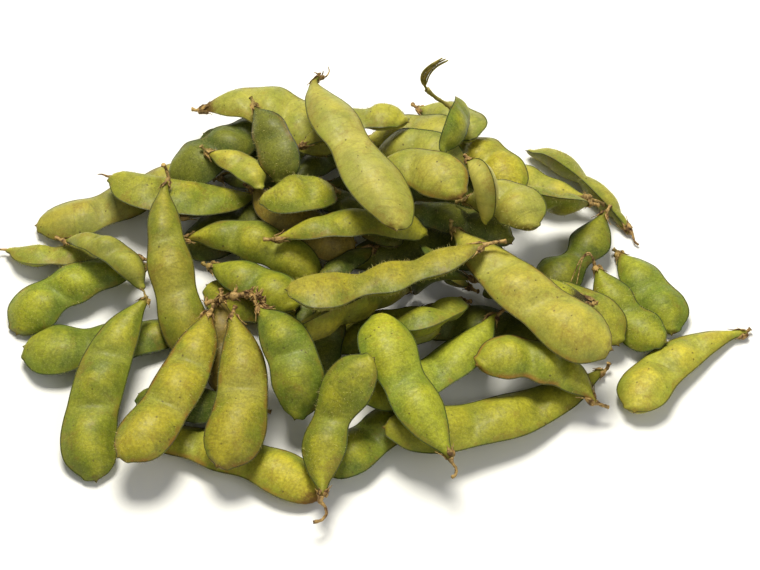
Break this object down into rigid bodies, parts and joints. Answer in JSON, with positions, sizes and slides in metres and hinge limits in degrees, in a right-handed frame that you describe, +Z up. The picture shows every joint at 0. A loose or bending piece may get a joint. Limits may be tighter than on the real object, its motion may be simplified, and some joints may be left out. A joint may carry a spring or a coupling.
{
  "type": "edamame pod bundle",
  "caption": "Loose heap of fresh soybean pods lying across each other on a flat surface, three of them still joined on one short twig.",
  "frame": {"origin": "on the table, under the middle of the heap's bounding box", "axes": "+X along the heap's long side, +Y towards its back, where the tall pods lean, +Z up"},
  "size_m": [0.23, 0.151, 0.0423],
  "materials": {
    "pod_ripe": "satin yellow-green skin",
    "pod_fresh": "satin mid-green skin",
    "pod_green": "satin fresh green skin",
    "pod_dark": "satin dark green skin",
    "pod_tan": "satin skin turned brownish",
    "twig": "dry brown bark"
  },
  "bodies": {
    "root": {"pod_left_back_long": "pod_ripe", "pod_left_point": "pod_ripe", "pod_left_round": "pod_green", "pod_left_cross": "pod_green", "pod_front_left_under": "pod_ripe", "pod_front_left_hidden": "pod_dark", "pod_front_middle_under": "pod_green", "pod_front_right_long": "pod_fresh", "pod_right_outlier": "pod_ripe", "pod_right_back_twin": "pod_fresh", "pod_right_broad": "pod_green", "pod_right_twin": "pod_green", "pod_base_back_left": "pod_dark", "pod_left_shadow": "pod_dark", "pod_base_middle": "pod_dark", "pod_base_heart": "pod_dark", "pod_base_front": "pod_fresh", "pod_base_front_right": "pod_dark", "pod_back_left_dark": "pod_dark", "pod_back_right_long": "pod_ripe", "pod_back_right_fold": "pod_ripe", "pod_right_seam": "pod_fresh", "pod_left_edge_on": "pod_fresh", "pod_right_slim": "pod_green", "pod_under_stub": "pod_fresh", "pod_right_dark_tip": "pod_green", "pod_middle_dark": "pod_dark", "pod_heart_dark": "pod_dark", "pod_front_thin_tail": "pod_fresh", "pod_front_right_round": "pod_green", "pod_front_right_stub": "pod_fresh", "pod_back_right_patch": "pod_green", "pod_back_green_twin": "pod_fresh", "pod_left_smile": "pod_fresh", "pod_middle_tan": "pod_tan", "pod_middle_ridge": "pod_fresh", "pod_front_seam": "pod_ripe", "pod_front_stub": "pod_fresh", "pod_right_shoulder": "pod_fresh", "pod_back_blush": "pod_green", "pod_crown_left": "pod_ripe", "pod_back_point": "pod_fresh", "pod_left_upright": "pod_ripe", "pod_left_little": "pod_ripe", "pod_middle_narrow": "pod_fresh", "pod_trio_left": "pod_ripe", "pod_trio_middle": "pod_ripe", "pod_trio_right": "pod_green", "pod_right_big": "pod_ripe", "pod_back_tall_stalk": "pod_green", "pod_crown_dark": "pod_dark", "pod_crown_small": "pod_fresh", "pod_crown_right": "pod_ripe", "pod_right_curl": "pod_fresh", "pod_crown_standing": "pod_ripe", "pod_middle_long": "pod_ripe", "pod_front_pointing": "pod_green", "pod_front_twisted": "pod_fresh", "pod_front_left_upright": "pod_fresh", "trio_twig": "twig"}
  },
  "joints": []
}
